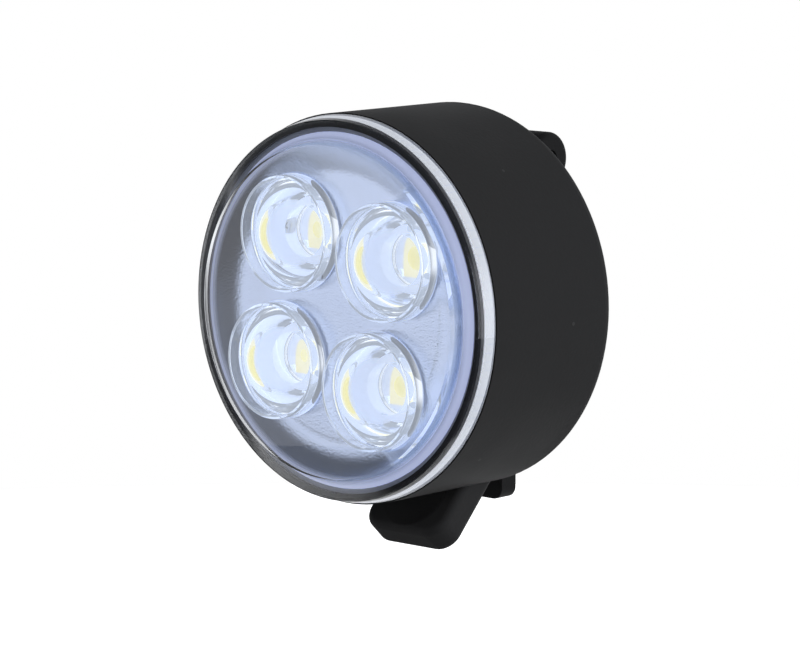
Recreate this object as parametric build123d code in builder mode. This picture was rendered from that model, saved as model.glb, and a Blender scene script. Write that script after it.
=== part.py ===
from build123d import *
from math import asin, cos, radians, sin, sqrt
import os

# A round four-LED bicycle light: a coin-cell capsule in a silicone jacket that a
# rubber strap holds to the handlebar. Millimetres, +Z up. The light shines along -Y,
# and the origin is the point of the saddle that the handlebar touches.

# Silicone jacket
JACKET_RADIUS = 20.0
JACKET_LENGTH = 18.3
JACKET_WALL = 1.8
JACKET_REAR_WALL = 1.5
JACKET_REAR_ROUND = 1.5

# Saddle that the handlebar lies in
BAR_RADIUS = 12.7
SADDLE_WEB = 1.0
SADDLE_WIDTH = 14.0
SADDLE_HEIGHT = 17.0

# Hook tongue under the jacket: a blade that leans forward, with a thumb scoop
HOOK_WIDTH = 10.8
HOOK_REACH = 6.2
HOOK_TIP_BEHIND = 10.1
HOOK_LEAN = 43.0
HOOK_LENGTH = 12.0
HOOK_THICKNESS = 3.6
HOOK_CORNER = 2.2
HOOK_EDGE = 0.8
SCOOP_PLACE = 4.2
SCOOP_RADIUS = 8.0
SCOOP_DEPTH = 0.9

# Strap, its eye and the pin that it turns on
STRAP_WIDTH = 12.0
STRAP_THICKNESS = 2.2
STRAP_BELOW = 1.7
STRAP_BOW = 12.2
TAB_WIDTH = 9.4
TAB_HEIGHT = 3.4
TAB_ROUND = 1.2
EYELET_WIDTH = 8.0
EYELET_HEIGHT = 4.7
EYELET_EDGE = 3.7
EYELET_ROUND = 1.0
EYE_RADIUS = 2.9
STRAP_EDGE = 0.6
PIN_RADIUS = 1.0
PIN_BEHIND = 6.4
PIN_HEIGHT = 13.8
LUG_WIDTH = 5.0
LUG_FOOT_DROP = 3.0
PIN_INSET = 0.2
CHEEK_GAP = 0.3

# Capsule shell and its front lens
SHELL_WALL = 1.6
SHELL_REAR_WALL = 1.2
SHELL_SETBACK = 0.25
LENS_INSET = 0.1
LENS_WALL = 0.8
LENS_RIM_HEIGHT = 2.0
LENS_RIM_TAPER = 0.5
LENS_RIM_CHAMFER = 0.15
LENS_PROUD = 3.6
WINDOW_RADIUS = 17.0
WINDOW_ROUND = 0.5
SEAL_HEIGHT = 0.42
SEAL_DEPTH = 1.15
SEAL_WALL = 0.6

# Optics: four collimators in a square that is turned about the light's axis
OPTIC_RADIUS = 6.0
OPTIC_SPACING = 13.4
OPTIC_TURN = -8.0
PATTERN_SHIFT = (-0.5, -0.1)
OPTIC_HEIGHT = 7.4
COLLAR_DEPTH = 2.7
COLLAR_STEP = 0.25
OPTIC_BASE_RADIUS = 3.6
CUP_WALL = 0.3
CUP_DEPTH = 1.3
CAVITY_RADIUS = 2.7
CAVITY_DEPTH = 2.6
CAVITY_BULGE = 0.3
CONE_SWELL = 0.45
FOOT_RADIUS = 0.35
FOOT_CIRCLE = 3.15
LED_GAP = 0.2

# Reflector dish: a shallow bowl inside a sloping rim
DISH_WALL = 0.7
DISH_RIM_HEIGHT = 1.95
DISH_RIM_DROP = 0.85
DISH_DEPTH = 1.25
DISH_FLOOR_RADIUS = 13.2
BOWL_RADIUS = 17.4
DISH_BOWL = (0.5, 0.3)

# LED board and what stands on it
BOARD_THICKNESS = 0.8
BOARD_SCREWS = 3
SCREW_CIRCLE = 15.0
SCREW_RADIUS = 0.8
SCREW_HEAD_RADIUS = 1.25
SCREW_HEAD_HEIGHT = 0.8
SCREW_LENGTH = 4.0
SCREW_POINT_ROOM = 0.5
CROSS_SLOT = (1.5, 0.3)
POST_RADIUS = 1.6
POST_TURN = 30.0
LED_SIZE = (4.0, 3.6)
LED_MARK = 0.5
LED_HEIGHT = 0.7
PHOSPHOR_RADIUS = 1.65
PHOSPHOR_DOME = 0.35
CHIP_SIZE = (3.0, 3.0, 1.0)
CHIP_PLACE = (0.0, 12.6)
RESISTOR_SIZE = (1.6, 0.8, 0.45)
RESISTOR_CIRCLE = 13.2
RESISTOR_SPAN = (45.0, 90.0)
CAPACITOR_SIZE = (2.0, 1.25, 0.9)
CAPACITOR_PLACE = (0.0, -12.6)

# Coin cells, their cradle and their contacts
CELL_RADIUS = 10.0
CELL_HEIGHT = 3.2
CELL_LID_RADIUS = 8.7
CELL_LID_STEP = 0.35
CELL_ROUND = 0.3
CRADLE_FLOOR = 0.4
CRADLE_WALL = 1.0
CRADLE_HOLE_RADIUS = 5.5
CELL_FIT = 0.15
CONTACT_THICKNESS = 0.2
CONTACT_WIDTH = 3.6
CONTACT_FOOT = 2.2
LEAF_POINTS = (-4.0, -1.8, 1.0, 2.4, 3.4)
LEAF_TIP_DROP = 0.6
CRADLE_FOOT_TURN = 60.0
CRADLE_FOOT_RADIUS = 0.4

# Battery cover with its bayonet lugs
COVER_RADIUS = 11.9
COVER_THICKNESS = 1.05
COVER_FIT = 0.1
COVER_SETBACK = 0.1
SPIGOT_DEPTH = 0.95
SPIGOT_WALL = 1.1
LUG_COUNT = 3
LUG_REACH = 1.2
LUG_THICKNESS = 0.8
LUG_HALF_ANGLE = 12.0
NOTCH_TURN = 45.0
NOTCH_MARGIN = 3.0
COIN_SLOT = (13.0, 1.8, 0.5)
COVER_SEAL_SIZE = (0.55, 0.4)

# Power button, plunger and switch
BUTTON_RADIUS = 4.0
BUTTON_PROUD = 0.9
BUTTON_TRAVEL = 0.5
BUTTON_FLANGE = 1.3
FLANGE_THICKNESS = 0.55
BUTTON_GAP = 0.3
BUTTON_ROUND = 0.5
NUB_LENGTH = 0.3
LIP_THICKNESS = 0.7
NUB_RADIUS = 2.0
PLUNGER_RADIUS = 1.3
PLUNGER_FLANGE_RADIUS = 1.9
PLUNGER_FLANGE = 0.4
PLUNGER_SEAL_WALL = 0.5
PLUNGER_SEAL_LENGTH = 0.6
STEM_RADIUS = 0.7
STEM_LENGTH = 0.55
SWITCH_SIZE = (3.2, 4.6, 3.6)
SWITCH_AXIS = 2.2

# Clearances
SLIDE_CLEARANCE = 0.2
END_CLEARANCE = 0.3
SEAT_GAP = 0.1
RUNNING_CLEARANCE = 0.05

# Places along the light's axis, as y: from the front back to the board
REAR_Y = -SADDLE_WEB
JACKET_FRONT_Y = REAR_Y - JACKET_LENGTH
FACE_Y = JACKET_FRONT_Y - LENS_PROUD
OPTIC_FRONT_Y = FACE_Y + LENS_WALL + RUNNING_CLEARANCE
OPTIC_BASE_Y = OPTIC_FRONT_Y + OPTIC_HEIGHT
LED_FRONT_Y = OPTIC_BASE_Y + LED_GAP
BOARD_FRONT_Y = LED_FRONT_Y + LED_HEIGHT
BOARD_BACK_Y = BOARD_FRONT_Y + BOARD_THICKNESS
DISH_RIM_Y = JACKET_FRONT_Y - DISH_RIM_HEIGHT
DISH_FLOOR_Y = DISH_RIM_Y + DISH_DEPTH
SHELL_FRONT_Y = JACKET_FRONT_Y - SHELL_SETBACK

# and from the jacket's rear wall forward to the cells and their cradle
JACKET_FLOOR_Y = REAR_Y - JACKET_REAR_WALL
SHELL_BACK_Y = JACKET_FLOOR_Y - END_CLEARANCE
SHELL_FLOOR_Y = SHELL_BACK_Y - SHELL_REAR_WALL
COVER_BACK_Y = SHELL_BACK_Y - COVER_SETBACK
COVER_FRONT_Y = COVER_BACK_Y - COVER_THICKNESS
SPIGOT_FRONT_Y = COVER_FRONT_Y - SPIGOT_DEPTH
CELL_FRONT_Y = COVER_FRONT_Y - SEAT_GAP - 2 * CELL_HEIGHT
CRADLE_FRONT_Y = CELL_FRONT_Y - RUNNING_CLEARANCE - CRADLE_FLOOR
CRADLE_BACK_Y = SPIGOT_FRONT_Y - END_CLEARANCE

# Radii that follow from the walls and clearances
JACKET_BORE = JACKET_RADIUS - JACKET_WALL
SHELL_RADIUS = JACKET_BORE - SLIDE_CLEARANCE
SHELL_BORE = SHELL_RADIUS - SHELL_WALL
LENS_RADIUS = JACKET_RADIUS - LENS_INSET
DISH_RADIUS = SHELL_BORE - SEAT_GAP
CONE_RADIUS = OPTIC_RADIUS - COLLAR_STEP
BOARD_RADIUS = SHELL_BORE - SLIDE_CLEARANCE
CRADLE_BORE = CELL_RADIUS + CELL_FIT
COVER_OPENING = COVER_RADIUS + COVER_FIT
SPIGOT_BORE = CELL_RADIUS + END_CLEARANCE
SPIGOT_RADIUS = SPIGOT_BORE + SPIGOT_WALL
LUG_RADIUS = COVER_OPENING + LUG_REACH
GROOVE_RADIUS = SHELL_RADIUS + SEAL_DEPTH

# The strap's centre line, as (y, z)
PIN_Y = REAR_Y + PIN_BEHIND
TIP_Y = REAR_Y + END_CLEARANCE + STRAP_THICKNESS / 2
TIP_Z = -JACKET_RADIUS - STRAP_BELOW
BOW_Y = REAR_Y + STRAP_BOW
BOW_TOP_Z = 3.0
BOW_FOOT_Z = -5.0
STRAP_HEEL_Z = -12.0
STRAP_BENDS = (8.0, 7.0, 2.6)

# The button's axis crosses the light's axis here
BUTTON_Y = BOARD_BACK_Y + SWITCH_AXIS

OPTIC_NAMES = ("lower_right", "upper_right", "upper_left", "lower_left")
OPTIC_CIRCLE = OPTIC_SPACING / sqrt(2)
OPTIC_ANGLES = [OPTIC_TURN - 45 + 90 * i for i in range(4)]
OPTIC_CENTRES = [
    (
        PATTERN_SHIFT[0] + OPTIC_CIRCLE * cos(radians(a)),
        PATTERN_SHIFT[1] + OPTIC_CIRCLE * sin(radians(a)),
    )
    for a in OPTIC_ANGLES
]


def facing(y):
    """The plane across the light's axis at y: sketches read (x, z), extrude goes forward."""
    return Plane(origin=(0, y, 0), x_dir=(1, 0, 0), z_dir=(0, -1, 0))


def side_plane(x):
    """The plane x = const, with sketches read as (y, z), and extrude going along +X."""
    return Plane.YZ.offset(x)


def cap_points(radius, rim_y, crown_y):
    """Start, middle and end of a dome's profile, from its crown on the axis to its rim."""
    rise = abs(rim_y - crown_y)
    sphere = (radius**2 + rise**2) / (2 * rise)
    middle = asin(radius / sphere) / 2
    towards_rim = 1 if rim_y > crown_y else -1
    middle_y = crown_y + towards_rim * sphere * (1 - cos(middle))
    return (0, crown_y), (sphere * sin(middle), middle_y), (radius, rim_y)


def write(builder, name):
    """Label a finished piece and write its STEP file."""
    builder.part.label = name
    export_step(builder.part, f"parts/{name}.step")


os.makedirs("parts", exist_ok=True)

# The button's window in the jacket follows the jacket's curve, so it is cut with
# this ring sector: the room for the button's flange inside the jacket's lip.
LIP_RADIUS = JACKET_RADIUS - LIP_THICKNESS
FLANGE_RADIUS = BUTTON_RADIUS + BUTTON_FLANGE
with BuildPart() as flange_room:
    with BuildSketch(facing(BUTTON_Y + JACKET_LENGTH / 2)):
        Circle(LIP_RADIUS)
        Circle(JACKET_BORE - 1, mode=Mode.SUBTRACT)
    extrude(amount=JACKET_LENGTH)
    with BuildSketch(side_plane(-JACKET_RADIUS)):
        with Locations((BUTTON_Y, 0)):
            Circle(FLANGE_RADIUS + BUTTON_GAP)
    extrude(amount=JACKET_RADIUS, mode=Mode.INTERSECT)

# Silicone jacket: cup, saddle, strap lug and hook tongue moulded in one
lean = radians(HOOK_LEAN)
blade = Plane(
    origin=(0, JACKET_FRONT_Y + HOOK_TIP_BEHIND, -JACKET_RADIUS - HOOK_REACH),
    x_dir=(1, 0, 0),
    z_dir=(0, -cos(lean), sin(lean)),
)
with BuildPart() as hook:
    with BuildSketch(blade):
        with Locations((0, HOOK_LENGTH / 2)):
            RectangleRounded(HOOK_WIDTH, HOOK_LENGTH, HOOK_CORNER)
    extrude(amount=HOOK_THICKNESS)
    fillet(hook.faces().filter_by(blade).edges(), HOOK_EDGE)
    scoop_centre = blade.from_local_coords((0, SCOOP_PLACE, HOOK_THICKNESS + SCOOP_RADIUS - SCOOP_DEPTH))
    with Locations(Location(scoop_centre)):
        Sphere(SCOOP_RADIUS, mode=Mode.SUBTRACT)

with BuildPart() as silicone_jacket:
    with BuildSketch(facing(REAR_Y)):
        Circle(JACKET_RADIUS)
    extrude(amount=JACKET_LENGTH)
    fillet(silicone_jacket.edges().group_by(Axis.Y)[-1], JACKET_REAR_ROUND)
    with BuildSketch(side_plane(-SADDLE_WIDTH / 2)) as saddle_profile:
        saddle_front = REAR_Y - JACKET_REAR_WALL / 2
        saddle_back = BAR_RADIUS - sqrt(BAR_RADIUS**2 - (SADDLE_HEIGHT / 2) ** 2)
        with Locations(((saddle_front + saddle_back) / 2, 0)):
            Rectangle(saddle_back - saddle_front, SADDLE_HEIGHT)
        with Locations((BAR_RADIUS, 0)):
            Circle(BAR_RADIUS, mode=Mode.SUBTRACT)
    extrude(amount=SADDLE_WIDTH)
    with BuildSketch(side_plane(-LUG_WIDTH / 2)):
        with BuildLine():
            Polyline(
                (REAR_Y - JACKET_REAR_WALL / 2, PIN_HEIGHT + EYE_RADIUS),
                (PIN_Y, PIN_HEIGHT + EYE_RADIUS),
                (PIN_Y, PIN_HEIGHT - EYE_RADIUS),
                (PIN_Y - EYE_RADIUS / 2, PIN_HEIGHT - EYE_RADIUS),
                (REAR_Y - JACKET_REAR_WALL / 2, PIN_HEIGHT - EYE_RADIUS - LUG_FOOT_DROP),
                close=True,
            )
        make_face()
        with Locations((PIN_Y, PIN_HEIGHT)):
            Circle(EYE_RADIUS)
            Circle(PIN_RADIUS, mode=Mode.SUBTRACT)
    extrude(amount=LUG_WIDTH)
    add(hook.part)
    with BuildSketch(facing(JACKET_FLOOR_Y)):
        Circle(JACKET_BORE)
    extrude(amount=JACKET_LENGTH, mode=Mode.SUBTRACT)
    with BuildSketch(side_plane(-JACKET_RADIUS - 1)):
        with Locations((BUTTON_Y, 0)):
            Circle(BUTTON_RADIUS + BUTTON_GAP)
    extrude(amount=JACKET_RADIUS, mode=Mode.SUBTRACT)
    add(flange_room.part, mode=Mode.SUBTRACT)
write(silicone_jacket, "silicone_jacket")

# Steel pin across the lug, which the strap's two eyes turn on
with BuildPart() as strap_pin:
    with BuildSketch(side_plane(-STRAP_WIDTH / 2 + PIN_INSET)):
        with Locations((PIN_Y, PIN_HEIGHT)):
            Circle(PIN_RADIUS)
    extrude(amount=STRAP_WIDTH - 2 * PIN_INSET)
    chamfer(strap_pin.edges().filter_by(GeomType.CIRCLE), PIN_INSET)
write(strap_pin, "strap_pin")

# Rubber strap: two eyes, a bowed band that leaves room for the bar, the eyelet that
# stretches over the hook tongue, and a pull tab at the tip
with BuildPart() as rubber_strap:
    with BuildSketch(side_plane(-STRAP_WIDTH / 2)):
        with BuildLine():
            FilletPolyline(
                (PIN_Y, PIN_HEIGHT),
                (BOW_Y, BOW_TOP_Z),
                (BOW_Y, BOW_FOOT_Z),
                (TIP_Y, STRAP_HEEL_Z),
                (TIP_Y, TIP_Z),
                radius=STRAP_BENDS,
            )
        trace(line_width=STRAP_THICKNESS)
        with Locations((PIN_Y, PIN_HEIGHT)):
            Circle(EYE_RADIUS)
    extrude(amount=STRAP_WIDTH)
    sides = rubber_strap.faces().sort_by(Axis.X)
    fillet(sides[0].edges() + sides[-1].edges(), STRAP_EDGE)
    with BuildSketch(side_plane(-STRAP_WIDTH / 2)):
        with Locations((PIN_Y, PIN_HEIGHT)):
            Circle(PIN_RADIUS + RUNNING_CLEARANCE)
    extrude(amount=STRAP_WIDTH, mode=Mode.SUBTRACT)
    with BuildSketch(side_plane(-LUG_WIDTH / 2 - CHEEK_GAP)):
        with Locations((PIN_Y, PIN_HEIGHT)):
            Circle(EYE_RADIUS + 2 * CHEEK_GAP)
    extrude(amount=LUG_WIDTH + 2 * CHEEK_GAP, mode=Mode.SUBTRACT)
    with BuildSketch(facing(BOW_Y)):
        for side in (-1, 1):
            with Locations((side * (TAB_WIDTH + STRAP_WIDTH) / 2, TIP_Z)):
                Rectangle(STRAP_WIDTH, 2 * TAB_HEIGHT)
    extrude(amount=BOW_Y - REAR_Y, mode=Mode.SUBTRACT)
    tab_corners = rubber_strap.edges().filter_by(Axis.Y).group_by(Axis.Z)[0]
    fillet(tab_corners, TAB_ROUND)
    with BuildSketch(facing(BOW_Y)):
        with Locations((0, TIP_Z + EYELET_EDGE + EYELET_HEIGHT / 2)):
            RectangleRounded(EYELET_WIDTH, EYELET_HEIGHT, EYELET_ROUND)
    extrude(amount=BOW_Y - REAR_Y, mode=Mode.SUBTRACT)
write(rubber_strap, "rubber_strap")

# Power button: cap, flange behind the jacket's lip, and the nub that meets the plunger
FLANGE_OUTER = LIP_RADIUS - RUNNING_CLEARANCE
FLANGE_INNER = FLANGE_OUTER - FLANGE_THICKNESS
with BuildPart() as button_flange:
    with BuildSketch(facing(BUTTON_Y + JACKET_LENGTH / 2)):
        Circle(FLANGE_OUTER)
        Circle(FLANGE_INNER, mode=Mode.SUBTRACT)
    extrude(amount=JACKET_LENGTH)
    with BuildSketch(side_plane(-JACKET_RADIUS)):
        with Locations((BUTTON_Y, 0)):
            Circle(FLANGE_RADIUS)
    extrude(amount=JACKET_RADIUS, mode=Mode.INTERSECT)
with BuildPart() as power_button:
    with BuildSketch(side_plane(-JACKET_RADIUS - BUTTON_PROUD)):
        with Locations((BUTTON_Y, 0)):
            Circle(BUTTON_RADIUS)
    extrude(amount=BUTTON_PROUD + LIP_THICKNESS + FLANGE_THICKNESS)
    fillet(power_button.edges().group_by(Axis.X)[0], BUTTON_ROUND)
    add(button_flange.part)
    with BuildSketch(side_plane(-JACKET_BORE)):
        with Locations((BUTTON_Y, 0)):
            Circle(NUB_RADIUS)
    extrude(amount=-(FLANGE_INNER - JACKET_BORE + NUB_LENGTH))
write(power_button, "power_button")

# Capsule shell: side wall, rear wall with the cover's opening, and the board posts
NOTCH_ANGLES = [90 - NOTCH_TURN + i * 360 / LUG_COUNT for i in range(LUG_COUNT)]
LUG_ANGLES = [90 + i * 360 / LUG_COUNT for i in range(LUG_COUNT)]


def sector(radius, middle, half_angle):
    """A pie slice about the light's axis, as a sketch of its own."""
    first, crest, last = (
        (radius * cos(radians(a)), radius * sin(radians(a)))
        for a in (middle - half_angle, middle, middle + half_angle)
    )
    with BuildSketch() as pie:
        with BuildLine():
            Polyline(last, (0, 0), first)
            ThreePointArc(first, crest, last)
        make_face()
    return pie.sketch


with BuildPart() as capsule_shell:
    with BuildSketch(facing(SHELL_BACK_Y)):
        Circle(SHELL_RADIUS)
    extrude(amount=SHELL_BACK_Y - SHELL_FRONT_Y)
    fillet(capsule_shell.edges().group_by(Axis.Y)[-1], 0.5)
    with BuildSketch(facing(SHELL_FLOOR_Y)):
        Circle(SHELL_BORE)
    extrude(amount=SHELL_FLOOR_Y - SHELL_FRONT_Y, mode=Mode.SUBTRACT)
    with BuildSketch(facing(SHELL_FLOOR_Y + SHELL_REAR_WALL / 2)):
        with PolarLocations(SCREW_CIRCLE, BOARD_SCREWS, start_angle=POST_TURN):
            Circle(POST_RADIUS)
    extrude(amount=SHELL_FLOOR_Y + SHELL_REAR_WALL / 2 - BOARD_BACK_Y)
    with BuildSketch(facing(BOARD_BACK_Y + SCREW_LENGTH + SCREW_POINT_ROOM)):
        with PolarLocations(SCREW_CIRCLE, BOARD_SCREWS, start_angle=POST_TURN):
            Circle(SCREW_RADIUS)
    extrude(amount=SCREW_LENGTH + SCREW_POINT_ROOM, mode=Mode.SUBTRACT)
    with BuildSketch(facing(SHELL_BACK_Y)):
        Circle(COVER_OPENING)
        for angle in NOTCH_ANGLES:
            add(sector(LUG_RADIUS + COVER_FIT, angle, LUG_HALF_ANGLE + NOTCH_MARGIN))
    extrude(amount=SHELL_REAR_WALL, mode=Mode.SUBTRACT)
    with BuildSketch(side_plane(-SHELL_RADIUS - 1)):
        with Locations((BUTTON_Y, 0)):
            Circle(PLUNGER_RADIUS + RUNNING_CLEARANCE)
    extrude(amount=SHELL_WALL + 2, mode=Mode.SUBTRACT)
    with BuildSketch(side_plane(-SHELL_RADIUS - 1)):
        with Locations((BUTTON_Y, 0)):
            Circle(NUB_RADIUS + BUTTON_GAP)
    extrude(amount=1 + BUTTON_TRAVEL, mode=Mode.SUBTRACT)
    with BuildSketch(side_plane(-SHELL_BORE + 1)):
        with Locations((BUTTON_Y, 0)):
            Circle(PLUNGER_RADIUS + RUNNING_CLEARANCE + PLUNGER_SEAL_WALL)
    extrude(amount=-(1 + PLUNGER_SEAL_LENGTH), mode=Mode.SUBTRACT)
write(capsule_shell, "capsule_shell")

# Clear front lens: a flat window inside a bevel, and a solid rim before the jacket's lip
# with a groove inside it for the seal
lens_back_y = JACKET_FRONT_Y - SEAT_GAP
rim_front_y = lens_back_y - LENS_RIM_HEIGHT
rim_top = LENS_RADIUS - LENS_RIM_TAPER
bevel_outer = rim_top - LENS_RIM_CHAMFER
bevel_front_y = rim_front_y - LENS_RIM_CHAMFER
bevel_slope = (bevel_front_y - FACE_Y) / (bevel_outer - WINDOW_RADIUS)
groove_front_y = bevel_front_y - bevel_slope * (bevel_outer - GROOVE_RADIUS) + LENS_WALL
with BuildPart() as front_lens:
    with BuildSketch(Plane.XY):
        with BuildLine():
            Polyline(
                (0, FACE_Y),
                (WINDOW_RADIUS, FACE_Y),
                (bevel_outer, bevel_front_y),
                (rim_top, rim_front_y),
                (LENS_RADIUS, lens_back_y),
                (SHELL_RADIUS, lens_back_y),
                (SHELL_RADIUS, groove_front_y + SEAL_HEIGHT),
                (GROOVE_RADIUS, groove_front_y + SEAL_HEIGHT),
                (GROOVE_RADIUS, groove_front_y),
                (WINDOW_RADIUS, FACE_Y + LENS_WALL),
                (0, FACE_Y + LENS_WALL),
                close=True,
            )
        make_face()
    revolve(axis=Axis.Y)
    window_edge = front_lens.edges().filter_by(GeomType.CIRCLE).group_by(Axis.Y)[0]
    fillet(window_edge, WINDOW_ROUND)
write(front_lens, "front_lens")

# Black silicone ring that fills the groove inside the lens's rim
with BuildPart() as lens_seal:
    with BuildSketch(facing(groove_front_y + SEAL_HEIGHT)):
        Circle(GROOVE_RADIUS - RUNNING_CLEARANCE)
        Circle(GROOVE_RADIUS - RUNNING_CLEARANCE - SEAL_WALL, mode=Mode.SUBTRACT)
    extrude(amount=SEAL_HEIGHT)
write(lens_seal, "lens_seal")

# Reflector dish: a sloping rim that sits on the shell, and a shallow bowl with a hole
# that each optic's collar stands in
with BuildPart() as reflector_dish:
    rim_low_y = DISH_RIM_Y + DISH_RIM_DROP
    bowl_middle = (
        (BOWL_RADIUS + DISH_FLOOR_RADIUS) / 2 + DISH_BOWL[0],
        DISH_FLOOR_Y - DISH_BOWL[1] * DISH_DEPTH,
    )
    with BuildSketch(Plane.XY):
        with BuildLine():
            Polyline(
                (0, DISH_FLOOR_Y + DISH_WALL),
                (0, DISH_FLOOR_Y),
                (DISH_FLOOR_RADIUS, DISH_FLOOR_Y),
            )
            ThreePointArc(
                (DISH_FLOOR_RADIUS, DISH_FLOOR_Y),
                bowl_middle,
                (BOWL_RADIUS, DISH_RIM_Y),
            )
            Polyline(
                (BOWL_RADIUS, DISH_RIM_Y),
                (SHELL_RADIUS, rim_low_y),
                (SHELL_RADIUS, SHELL_FRONT_Y),
                (DISH_RADIUS, SHELL_FRONT_Y),
                (DISH_RADIUS, DISH_FLOOR_Y + DISH_WALL),
                (0, DISH_FLOOR_Y + DISH_WALL),
            )
        make_face()
    revolve(axis=Axis.Y)
    with BuildSketch(facing(BOARD_FRONT_Y)):
        with Locations(*OPTIC_CENTRES):
            Circle(OPTIC_RADIUS + SEAT_GAP)
    extrude(amount=BOARD_FRONT_Y - FACE_Y, mode=Mode.SUBTRACT)
write(reflector_dish, "reflector_dish")

# Optics: clear collimators with a flat front sunk inside a collar, a tapering body, a rear
# cavity with a weak lens in its roof over the LED, and three feet on the board
collar_back_y = OPTIC_FRONT_Y + COLLAR_DEPTH
cavity_top_y = OPTIC_BASE_Y - CAVITY_DEPTH
cone_middle = (
    (CONE_RADIUS + OPTIC_BASE_RADIUS) / 2 + CONE_SWELL,
    (collar_back_y + OPTIC_BASE_Y) / 2,
)
for name, (x, z) in zip(OPTIC_NAMES, OPTIC_CENTRES):
    with BuildPart() as optic:
        with BuildSketch(Plane(origin=(x, 0, z), x_dir=(1, 0, 0), z_dir=(0, 0, 1))):
            with BuildLine():
                Polyline(
                    (0, cavity_top_y + CAVITY_BULGE),
                    (0, OPTIC_FRONT_Y + CUP_DEPTH),
                    (OPTIC_RADIUS - CUP_WALL, OPTIC_FRONT_Y + CUP_DEPTH),
                    (OPTIC_RADIUS - CUP_WALL, OPTIC_FRONT_Y),
                    (OPTIC_RADIUS, OPTIC_FRONT_Y),
                    (OPTIC_RADIUS, collar_back_y),
                    (CONE_RADIUS, collar_back_y),
                )
                ThreePointArc((CONE_RADIUS, collar_back_y), cone_middle, (OPTIC_BASE_RADIUS, OPTIC_BASE_Y))
                Polyline(
                    (OPTIC_BASE_RADIUS, OPTIC_BASE_Y),
                    (CAVITY_RADIUS, OPTIC_BASE_Y),
                    (CAVITY_RADIUS, cavity_top_y),
                )
                ThreePointArc(*cap_points(CAVITY_RADIUS, cavity_top_y, cavity_top_y + CAVITY_BULGE))
            make_face()
        revolve(axis=Axis(origin=(x, 0, z), direction=(0, 1, 0)))
        with BuildSketch(facing(BOARD_FRONT_Y)):
            with Locations((x, z)):
                with PolarLocations(FOOT_CIRCLE, 3, start_angle=90):
                    Circle(FOOT_RADIUS)
        extrude(amount=BOARD_FRONT_Y - OPTIC_BASE_Y)
    write(optic, f"optic_{name}")

# LED packages on the board, each with a yellow phosphor dome
for name, (x, z) in zip(OPTIC_NAMES, OPTIC_CENTRES):
    with BuildPart() as led:
        with BuildSketch(facing(BOARD_FRONT_Y)):
            with Locations((x, z)):
                Rectangle(*LED_SIZE)
        extrude(amount=LED_HEIGHT)
        chamfer(led.edges().filter_by(Axis.Y).group_by(Axis.X)[0].sort_by(Axis.Z)[-1], LED_MARK)
    write(led, f"led_{name}")
    with BuildPart() as phosphor:
        with BuildSketch(Plane(origin=(x, 0, z), x_dir=(1, 0, 0), z_dir=(0, 0, 1))):
            with BuildLine():
                Line((0, LED_FRONT_Y - PHOSPHOR_DOME), (0, LED_FRONT_Y))
                Line((0, LED_FRONT_Y), (PHOSPHOR_RADIUS, LED_FRONT_Y))
                ThreePointArc(*cap_points(PHOSPHOR_RADIUS, LED_FRONT_Y, LED_FRONT_Y - PHOSPHOR_DOME))
            make_face()
        revolve(axis=Axis(origin=(x, 0, z), direction=(0, 1, 0)))
    write(phosphor, f"phosphor_{name}")

# LED board
with BuildPart() as led_board:
    with BuildSketch(facing(BOARD_BACK_Y)):
        Circle(BOARD_RADIUS)
        with PolarLocations(SCREW_CIRCLE, BOARD_SCREWS, start_angle=POST_TURN):
            Circle(SCREW_RADIUS + RUNNING_CLEARANCE, mode=Mode.SUBTRACT)
    extrude(amount=BOARD_THICKNESS)
write(led_board, "led_board")

# Screws that hold the board to the shell's posts
with BuildPart() as board_screws:
    with BuildSketch(facing(BOARD_BACK_Y + SCREW_LENGTH)):
        with PolarLocations(SCREW_CIRCLE, BOARD_SCREWS, start_angle=POST_TURN):
            Circle(SCREW_RADIUS)
    extrude(amount=SCREW_LENGTH + BOARD_THICKNESS)
    with BuildSketch(facing(BOARD_FRONT_Y)):
        with PolarLocations(SCREW_CIRCLE, BOARD_SCREWS, start_angle=POST_TURN):
            Circle(SCREW_HEAD_RADIUS)
    extrude(amount=SCREW_HEAD_HEIGHT)
    fillet(board_screws.edges().group_by(Axis.Y)[0], SCREW_HEAD_HEIGHT / 3)
    with BuildSketch(facing(BOARD_FRONT_Y - SCREW_HEAD_HEIGHT / 2)):
        with PolarLocations(SCREW_CIRCLE, BOARD_SCREWS, start_angle=POST_TURN):
            Rectangle(CROSS_SLOT[0], CROSS_SLOT[1])
            Rectangle(CROSS_SLOT[1], CROSS_SLOT[0])
    extrude(amount=SCREW_HEAD_HEIGHT, mode=Mode.SUBTRACT)
write(board_screws, "board_screws")

# Parts on the board's back
with BuildPart() as controller_chip:
    with BuildSketch(facing(BOARD_BACK_Y + CHIP_SIZE[2])):
        with Locations(CHIP_PLACE):
            Rectangle(CHIP_SIZE[0], CHIP_SIZE[1])
    extrude(amount=CHIP_SIZE[2])
    chamfer(controller_chip.edges().group_by(Axis.Y)[-1], 0.15)
write(controller_chip, "controller_chip")

with BuildPart() as led_resistors:
    with BuildSketch(facing(BOARD_BACK_Y + RESISTOR_SIZE[2])):
        with PolarLocations(
            RESISTOR_CIRCLE,
            len(OPTIC_NAMES),
            start_angle=RESISTOR_SPAN[0],
            angular_range=RESISTOR_SPAN[1],
            endpoint=True,
        ):
            Rectangle(RESISTOR_SIZE[1], RESISTOR_SIZE[0])
    extrude(amount=RESISTOR_SIZE[2])
write(led_resistors, "led_resistors")

with BuildPart() as capacitor:
    with BuildSketch(facing(BOARD_BACK_Y + CAPACITOR_SIZE[2])):
        with Locations(CAPACITOR_PLACE):
            Rectangle(CAPACITOR_SIZE[0], CAPACITOR_SIZE[1])
    extrude(amount=CAPACITOR_SIZE[2])
    fillet(capacitor.edges().filter_by(Axis.Y), 0.15)
write(capacitor, "capacitor")

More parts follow.
